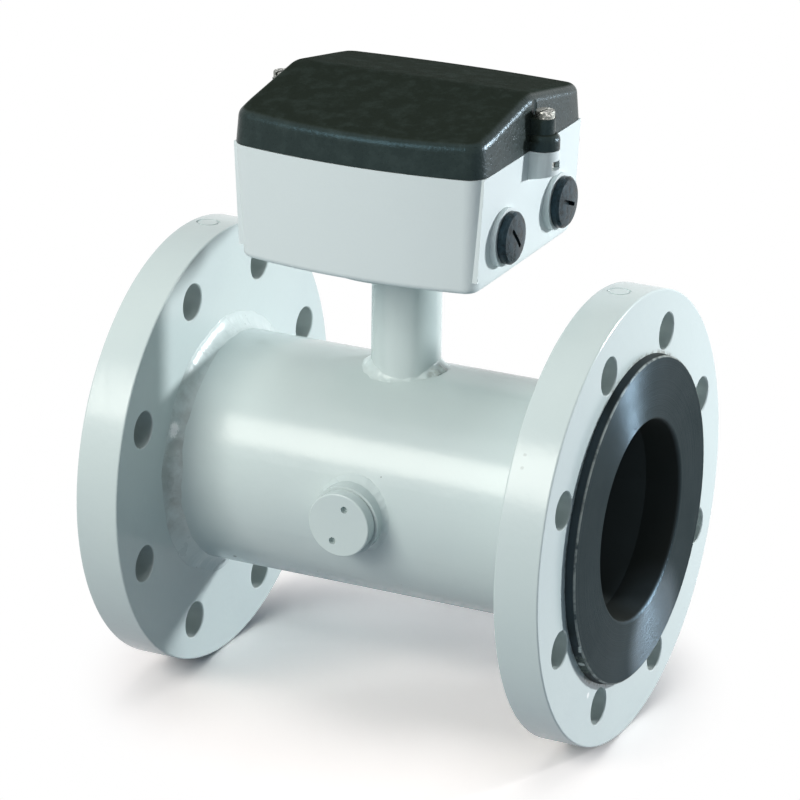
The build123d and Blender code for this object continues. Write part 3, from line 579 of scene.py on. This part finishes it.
def lidFinish(name):
    # grained moulding: walls and edges have a bluish sheen, and the matt cover takes it off the roof
    made = Finish(name, ior=lid["ior"], tint=lid["tint"])
    pebble = made.cloudy(lid["pebbles"])
    shade = made.cloudy(lid["blotches"]) + pebble * lid["pebbleColour"]
    colour = made.mix(lid["colour"], lid["blotch"], shade)
    grain = made.bump(pebble, lid["pebbleDepth"])
    rough, roofRough = (pebble * more + least for more, least in (lid["roughness"], lid["roofRoughness"]))
    made.feed(colour=colour, roughness=rough, normal=grain)
    upright = made.node("SeparateXYZ", None, {0: made.node("NewGeometry", out="Normal")}, 2)
    roof = made.soft(upright, *lid["roofSlope"])
    made.cover(lid["roofIor"], roof, colour=colour, roughness=roofRough, normal=grain)
    return made.material


plug = {
    "colour": tone(17, 25, 26),
    "grain": tone(44, 60, 67),
    "grains": {"noise": (260, 4, 0.6), "fade": (0.30, 0.72)},
    "grainDepth": 0.00008,
    "grainRoughness": 0.12,
    "ior": 1.30,
    "tint": tone(185, 226, 250),
    "roughness": 0.24,
}


def plugFinish(name):
    # dark moulding with a coarse, slightly paler grain
    made = Finish(name, ior=plug["ior"], tint=plug["tint"])
    grain = made.cloudy(plug["grains"])
    colour = made.mix(plug["colour"], plug["grain"], grain)
    rough = grain * plug["grainRoughness"] + plug["roughness"]
    return made.feed(colour=colour, roughness=rough, normal=made.bump(grain, plug["grainDepth"]))


zinc = {
    "colour": tone(150, 153, 148),
    "dull": tone(96, 99, 95),
    "bright": tone(232, 232, 226),
    "worn": {"noise": (900, 3, 0.7), "fade": (0.5, 0.62)},
    "clouds": {"noise": (260, 3, 0.6)},
    "grain": {"noise": (700, 3, 0.6)},
    "grainDepth": 0.0001,
    "roughness": 0.46,
    "wornSmoother": 0.22,
    "cloudRougher": 0.1,
}


def zincFinish(name):
    # thin zinc: dull patches, and bright worn spots that glint
    made = Finish(name, metallic=1.0)
    worn, cloud = made.cloudy(zinc["worn"]), made.cloudy(zinc["clouds"])
    colour = made.mix(made.mix(zinc["colour"], zinc["dull"], cloud), zinc["bright"], worn)
    rough = zinc["roughness"] - worn * zinc["wornSmoother"] + cloud * zinc["cloudRougher"]
    grain = made.bump(made.cloudy(zinc["grain"]), zinc["grainDepth"])
    return made.feed(colour=colour, roughness=rough, normal=grain)


winding = {
    "colour": tone(190, 104, 60),
    "shade": tone(120, 58, 32),
    "wire": 0.0009,  # from one turn to the next
    "ridge": 0.0001,
    "shading": (0.4, 0.4),  # swing and middle of the shade from turn to turn
    "metallic": 0.8,
    "lacquer": 0.5,
    "lacquerRoughness": 0.2,
    "roughness": 0.25,
    "dull": {"noise": (80, 2, 0.5), "share": 0.2},
}


def windingFinish(name):
    # lacquered wire laid side by side: ridges across the coil's thickness
    made = Finish(name, metallic=winding["metallic"], coat=winding["lacquer"],
                  coatRoughness=winding["lacquerRoughness"])
    turn = (made.x * (2 * math.pi / winding["wire"])).math("SINE")
    swing, middle = winding["shading"]
    colour = made.mix(winding["colour"], winding["shade"], turn * swing + middle)
    rough = made.cloudy(winding["dull"]) + winding["roughness"]
    return made.feed(colour=colour, roughness=rough, normal=made.bump(turn, winding["ridge"]))


metal = {
    "grain": {"noise": (500, 3, 0.6)},
    "clouds": {"noise": (60, 3, 0.6)},
    "shares": (0.4, 0.4),  # of the grain and the clouds in the colour
    "roughnessShares": (0.0, 0.14),  # and in the roughness
    "grainDepth": 0.00002,
    "metallic": 1.0,
}
plain = {
    "grain": {"noise": (400, 3, 0.6)},
    "clouds": {"noise": (25, 2, 0.5)},
    "shares": (0.5, 0.4),
    "roughnessShares": (0.12, 0.0),
    "grainDepth": 0.00004,
    "metallic": 0.0,
}


def innerFinish(name, stuff, colour, dark, roughness):
    # bare metal, or the rubber or plastic of an inner piece, with a fine grain and slow clouds
    made = Finish(name, metallic=stuff["metallic"])
    grain, cloud = made.cloudy(stuff["grain"]), made.cloudy(stuff["clouds"])
    shade, rougher = (grain * a + cloud * b for a, b in (stuff["shares"], stuff["roughnessShares"]))
    bump = made.bump(grain, stuff["grainDepth"])
    return made.feed(colour=made.mix(colour, dark, shade), roughness=rougher + roughness, normal=bump)


finishes = {
    "painted_steel": paintFinish("paleGreenPaint", pipeMarks, paint["roughness"]),
    "liner_rubber": rubberFinish("turnedHardRubber"),
    "box_plastic": boxFinish("paleGreyMoulding"),
    "lid_plastic": lidFinish("blackGrainedMoulding"),
    "plug_plastic": plugFinish("darkPlugMoulding"),
    "screw_steel": zincFinish("zincPlate"),
    "stainless": innerFinish("stainless", metal, tone(200, 200, 196), tone(140, 140, 136), 0.3),
    "seal_rubber": innerFinish("blackSealRubber", plain, tone(20, 20, 20), tone(34, 34, 33), 0.6),
    "bush_plastic": innerFinish("whiteBushPlastic", plain, tone(232, 232, 224), tone(214, 214, 205), 0.4),
    "coil_winding": windingFinish("lacqueredWire"),
    "core_iron": innerFinish("softIron", metal, tone(96, 94, 92), tone(60, 58, 56), 0.5),
    "board_laminate": innerFinish("greenLaminate", plain, tone(38, 108, 58), tone(24, 84, 42), 0.35),
    "block_plastic": innerFinish("greyBlockPlastic", plain, tone(150, 154, 156), tone(128, 132, 134), 0.45),
    "lead_sheath": innerFinish("blackLeadSheath", plain, tone(30, 30, 30), tone(46, 46, 45), 0.5),
}
flangePaint = paintFinish("paleGreenPaintFlange", flangeMarks, paint["roughness"])
beadPaint = paintFinish("paleGreenPaintWeld", weldMarks, paint["weldRoughness"])

for part in frame["record"]["subparts"]:
    isFlange = part["node"].startswith("flange_")
    for holder in nodes[part["node"]].material_slots:
        holder.link = "OBJECT"
        holder.material = flangePaint if isFlange else finishes[part["material_slot"]]


def gridMesh(name, points):
    # a grid of points (rows along the path, columns across it) as quads, closed both ways
    rows, columns = points.shape[:2]
    a, b = np.meshgrid(np.arange(rows), np.arange(columns), indexing="ij")
    a2, b2 = (a + 1) % rows, (b + 1) % columns
    quads = [a * columns + b, a2 * columns + b, a2 * columns + b2, a * columns + b2]
    mesh = bpy.data.meshes.new(name)
    mesh.from_pydata(points.reshape(-1, 3).tolist(), [], np.stack(quads, -1).reshape(-1, 4).tolist())
    mesh.polygons.foreach_set("use_smooth", [True] * len(mesh.polygons))
    mesh.update()
    return added(name, mesh)


def ripple(angle, count, seed):
    # an uneven wave round a ring, about -1 to 1: a sum of cosines over the root of their number, whose whole
    # frequencies near the count, phases and weights are drawn with the seed
    waves = 9
    picked = np.random.default_rng(seed)
    total = np.zeros_like(angle)
    for _ in range(waves):
        turns = round(count * picked.uniform(0.72, 1.3))
        total += np.cos(angle * turns + picked.uniform(0, 2 * np.pi)) * picked.uniform(0.5, 1)
    return total / np.sqrt(waves)


def lumps(angle, places):
    # a soft hump round each (degrees, width in degrees, height)
    total = np.zeros_like(angle)
    for degrees, width, tall in places:
        gap = (np.degrees(angle) - degrees + 180) % 360 - 180
        total += tall * np.exp(-(gap / width) ** 2)
    return total


def hollowSection(count, bulge):
    # from one toe (0, 1) to the other (1, 0) along a hollow superellipse, straight at bulge 1 and round at 2,
    # and a fade for the ripples, 0 at both toes and 1 midway: the sine of half a turn to the power 0.7
    turn = np.linspace(0, np.pi / 2, count)
    power = 2 / bulge
    fade = np.sin(np.linspace(0, np.pi, count)) ** 0.7
    return 1 - np.cos(turn) ** power, 1 - np.sin(turn) ** power, fade


def sunk(along, over, deepAlong, deepOver):
    # closes each section inside the metal: from its last point straight in to deepOver, then to deepAlong,
    # and straight back out to the height of its first point
    rows = len(along)
    along = np.concatenate([along, along[:, -1:], np.full((rows, 2), deepAlong)], 1)
    over = np.concatenate([over, np.full((rows, 2), deepOver), over[:, :1]], 1)
    return along, over


flangeWeld = {
    "pipeR": 0.05715,
    "faceX": 0.0975,
    "legOnFlange": 0.0082,
    "legOnPipe": 0.0056,
    "bulge": 1.55,
    "waves": (11, 31),  # slow waviness of both toes: coarse and fine waves round the pipe
    "wave": (0.00045, 0.00018),
    "waveOnFlange": 1.3,  # the flange's toe waves this much more
    "ripples": 96,
    "ripple": 0.00005,
    "crescent": 0.05,  # how far the ripples bow forward, in radians
    "swell": (0.7, 0.7),  # ripples and lumps push out along both axes
    "lumps": [(155, 1.6, 0.0007), (160, 1.5, 0.0006), (168, 3, 0.0004), (199, 4, 0.0004), (238, 5, 0.0007),
              (247, 3, 0.0006)],
    "sink": 0.0003,
    "grid": (900, 14),  # points round the pipe, and across the bead
}


def flangeBead(name, side, seed):
    # round the pipe by angle, and across the bead from the flange toe to the pipe toe: a hollow section whose
    # two legs wave slowly, plus crescent ripples and a few lumps that fade at the toes
    weld = flangeWeld
    rows, columns = weld["grid"]
    angle = np.linspace(0, 2 * np.pi, rows, endpoint=False)[:, None]
    across, outwards, fade = hollowSection(columns, weld["bulge"])
    slow = sum(ripple(angle, weld["waves"][i], seed + i) * weld["wave"][i] for i in range(2))
    bowed = angle + weld["crescent"] * across * (1 - across)
    swell = (ripple(bowed, weld["ripples"], seed + 2) * weld["ripple"] + lumps(angle, weld["lumps"])) * fade
    onPipe, onFlange = weld["legOnPipe"] + slow, weld["legOnFlange"] + slow * weld["waveOnFlange"]
    x = weld["faceX"] - onPipe * across - swell * weld["swell"][0]
    r = weld["pipeR"] + onFlange * outwards + swell * weld["swell"][1]
    x, r = sunk(x, r, weld["faceX"] + weld["sink"], weld["pipeR"] - weld["sink"])
    points = np.stack([side * x, r * np.cos(angle), r * np.sin(angle)], -1)
    return gridMesh(name, points[:, ::-1] if side > 0 else points)


# Angles are in degrees from +X, towards +Y round the neck and towards +Z round a boss; legs in millimetres.
stubWelds = {
    "neck": {
        "stubR": 0.01685, "axis": "up", "bulge": 1.35, "ripple": 0.00003, "ripples": 42,
        "angles": [-180, -135, -112, -90, -65, -40, -20, 0, 60, 120, 180],
        "legs": [4.3, 4.2, 3.2, 1.5, 0.9, 1.2, 4.0, 4.6, 3.6, 3.8, 4.3],
        "lumps": [(-14, 5, 0.0011), (-2, 4, 0.0009), (-33, 4, 0.0004), (-104, 4, 0.0003), (-89, 3, 0.0004),
                  (-165, 6, 0.0003)],
    },
    "boss_front": {
        "stubR": 0.017, "axis": "front", "bulge": 1.25, "ripple": 0.00002, "ripples": 40,
        "angles": [-180, -90, -20, 10, 45, 75, 100, 130, 180],
        "legs": [2.4, 2.6, 2.2, 2.2, 2.4, 3.0, 2.6, 2.0, 2.4],
        "lumps": [(96, 9, 0.0002), (72, 6, 0.0005), (59, 3, 0.0002), (47, 4, 0.0003), (35, 3, 0.0002),
                  (24, 4, 0.0002)],
    },
    "boss_rear": {
        "stubR": 0.017, "axis": "rear", "bulge": 1.25, "ripple": 0.00002, "ripples": 40,
        "angles": [-180, -100, -30, 30, 90, 140, 180],
        "legs": [2.6, 2.3, 2.7, 2.2, 2.6, 2.3, 2.6],
        "lumps": [(-120, 5, 0.0005), (-40, 4, 0.0004), (20, 5, 0.0005), (100, 4, 0.0004)],
    },
}
stubWeld = {
    "blend": 41,  # points over which one leg passes into the next
    "waves": 17,
    "wave": 0.00025,
    "crescent": 0.16,
    "lumpsAtToe": 1.3,  # the lumps grow towards the outer toe
    "swell": (0.6, 0.7),
    "sink": 0.0004,  # into the stub's wall
    "depth": 0.0005,  # into the pipe's wall
    "grid": (560, 12),
}


def stubBead(name, weld, seed):
    # round the stub by angle, and across the bead from the stub's wall to the pipe: a hollow section whose
    # leg passes through the given lengths and waves slowly, plus crescent ripples, and lumps at the outer toe;
    # it stands on the pipe's round surface, whose height at a sideways distance q is the root of
    # pipeR^2 - q^2
    rows, columns = stubWeld["grid"]
    angle = np.linspace(-np.pi, np.pi, rows, endpoint=False)[:, None]
    across, outwards, fade = hollowSection(columns, weld["bulge"])
    leg = np.interp(np.degrees(angle), weld["angles"], weld["legs"]) / 1000
    kernel = np.hanning(stubWeld["blend"]) / np.hanning(stubWeld["blend"]).sum()
    leg = np.convolve(np.tile(leg[:, 0], 3), kernel, "same")[rows:2 * rows, None]
    leg = leg + ripple(angle, stubWeld["waves"], seed) * stubWeld["wave"]
    bowed = angle + stubWeld["crescent"] * across * (1 - across)
    wave = ripple(bowed, weld["ripples"], seed + 1) * weld["ripple"]
    swell = (wave + lumps(angle, weld["lumps"]) * across * stubWeld["lumpsAtToe"]) * fade
    radius = weld["stubR"] + leg * across + swell * stubWeld["swell"][0]
    lift = leg * outwards + swell * stubWeld["swell"][1]
    radius, lift = sunk(radius, lift, weld["stubR"] - stubWeld["sink"], -stubWeld["depth"])
    p, q = radius * np.cos(angle), radius * np.sin(angle)
    high = np.sqrt(flangeWeld["pipeR"] ** 2 - q ** 2) + lift
    if weld["axis"] == "front":
        points = np.stack([p, -high, q], -1)
    else:
        points = np.stack([p, q, high] if weld["axis"] == "up" else [p, high, q], -1)[:, ::-1]
    return gridMesh(name, points)


plateWeld = {
    "neckR": 0.01685,
    "plateZ": 0.1125,  # the plate's underside
    "leg": 0.0030,
    "bulge": 1.4,
    "waves": 9,
    "wave": 0.0002,
    "ripples": 38,
    "ripple": 0.00012,
    "sink": 0.0004,
    "grid": (360, 10),
}


def plateBead(name, seed):
    # under the box's plate, from the plate's underside in and down to the neck's wall: a hollow section whose
    # leg waves slowly, plus ripples that fade at the toes
    weld = plateWeld
    rows, columns = weld["grid"]
    angle = np.linspace(0, 2 * np.pi, rows, endpoint=False)[:, None]
    across, outwards, fade = hollowSection(columns, weld["bulge"])
    leg = weld["leg"] + ripple(angle, weld["waves"], seed) * weld["wave"]
    swell = ripple(angle, weld["ripples"], seed + 1) * weld["ripple"] * fade
    radius = weld["neckR"] + leg * outwards + swell
    z = weld["plateZ"] - leg * across - swell
    z, radius = sunk(z, radius, weld["plateZ"] + weld["sink"], weld["neckR"] - weld["sink"])
    return gridMesh(name, np.stack([radius * np.cos(angle), radius * np.sin(angle), z], -1))


beadPieces = {
    "weld_flange_left": flangeBead("beadFlangeLeft", -1, 11),
    "weld_flange_right": flangeBead("beadFlangeRight", 1, 23),
    "weld_neck": stubBead("beadNeck", stubWelds["neck"], 31),
    "weld_boss_front": stubBead("beadBossFront", stubWelds["boss_front"], 41),
    "weld_boss_rear": stubBead("beadBossRear", stubWelds["boss_rear"], 53),
    "weld_neck_plate": plateBead("beadPlate", 61),
}
for node, piece in beadPieces.items():
    piece.data.materials.append(beadPaint)
    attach(piece, "root")
    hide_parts(node)
print("weld beads made:", len(beadPieces))
